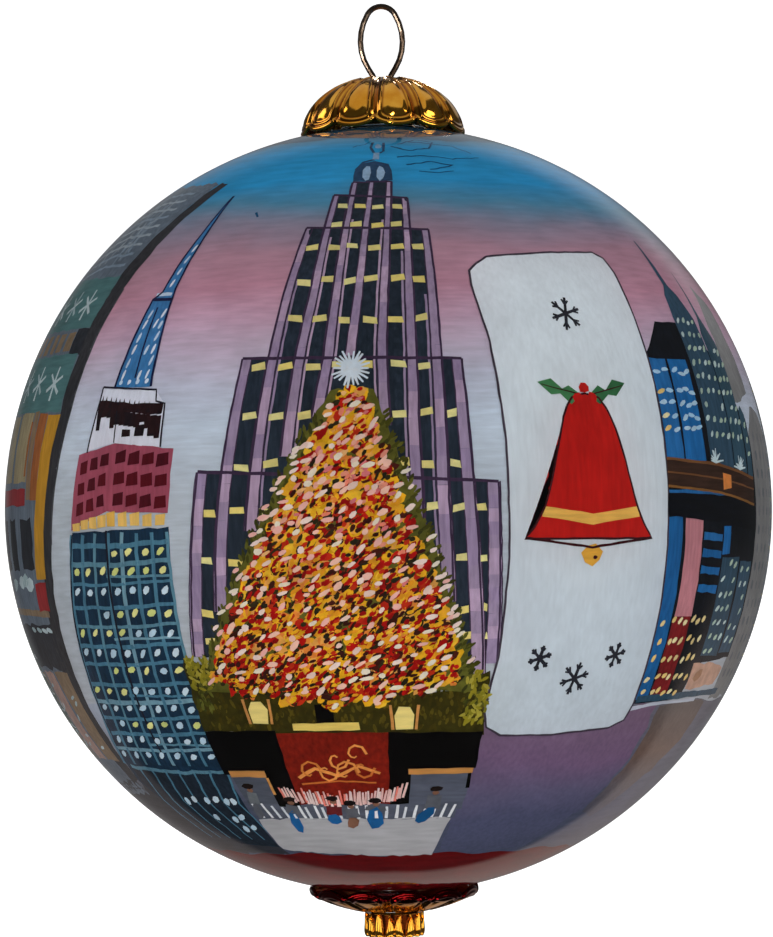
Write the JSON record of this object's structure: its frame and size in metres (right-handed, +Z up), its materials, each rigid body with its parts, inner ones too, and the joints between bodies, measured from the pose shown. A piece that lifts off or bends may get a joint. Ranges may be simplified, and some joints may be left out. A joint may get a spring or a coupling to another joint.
{
  "type": "christmas ornament",
  "caption": "Hanging glass ball ornament, painted inside with a winter city scene, with gold petal caps, a wire hanger loop above and a fluted finial below.",
  "frame": {"origin": "the point inside the top of the wire loop where a hook bears", "axes": "+Z up along the ornament's axis, away from the ball; the wire loop lies in the XZ plane, so a hook passes through it along Y, and the picture's front faces -Y"},
  "size_m": [0.08, 0.08, 0.098],
  "materials": {
    "clear_glass": "blown, polished, clear",
    "picture_paint": "hand-brushed acrylic seen through the glass",
    "backing_paint": "matt pale coat",
    "gold_cap": "stamped thin sheet, bright gold plate",
    "spring_wire": "drawn spring wire, dark plate",
    "cement": "set cement"
  },
  "bodies": {
    "hanger": {"hanger_wire": "spring_wire"},
    "cap": {"top_cap": "gold_cap"},
    "ball": {"glass_ball": "clear_glass", "paint_picture": "picture_paint", "paint_backing": "backing_paint", "bottom_cap": "gold_cap", "finial": "gold_cap", "finial_cement": "cement"}
  },
  "joints": [
    {"name": "hanger_swing", "type": "hinge", "parent": "hanger", "child": "cap", "pos_m": [0, 0, -0.00747], "axis": [1, 0, 0], "range_deg": [-15, 15]},
    {"name": "ball_spin", "type": "hinge", "parent": "cap", "child": "ball", "pos_m": [0, 0, -0.00747], "axis": [0, 0, 1], "continuous": true}
  ]
}
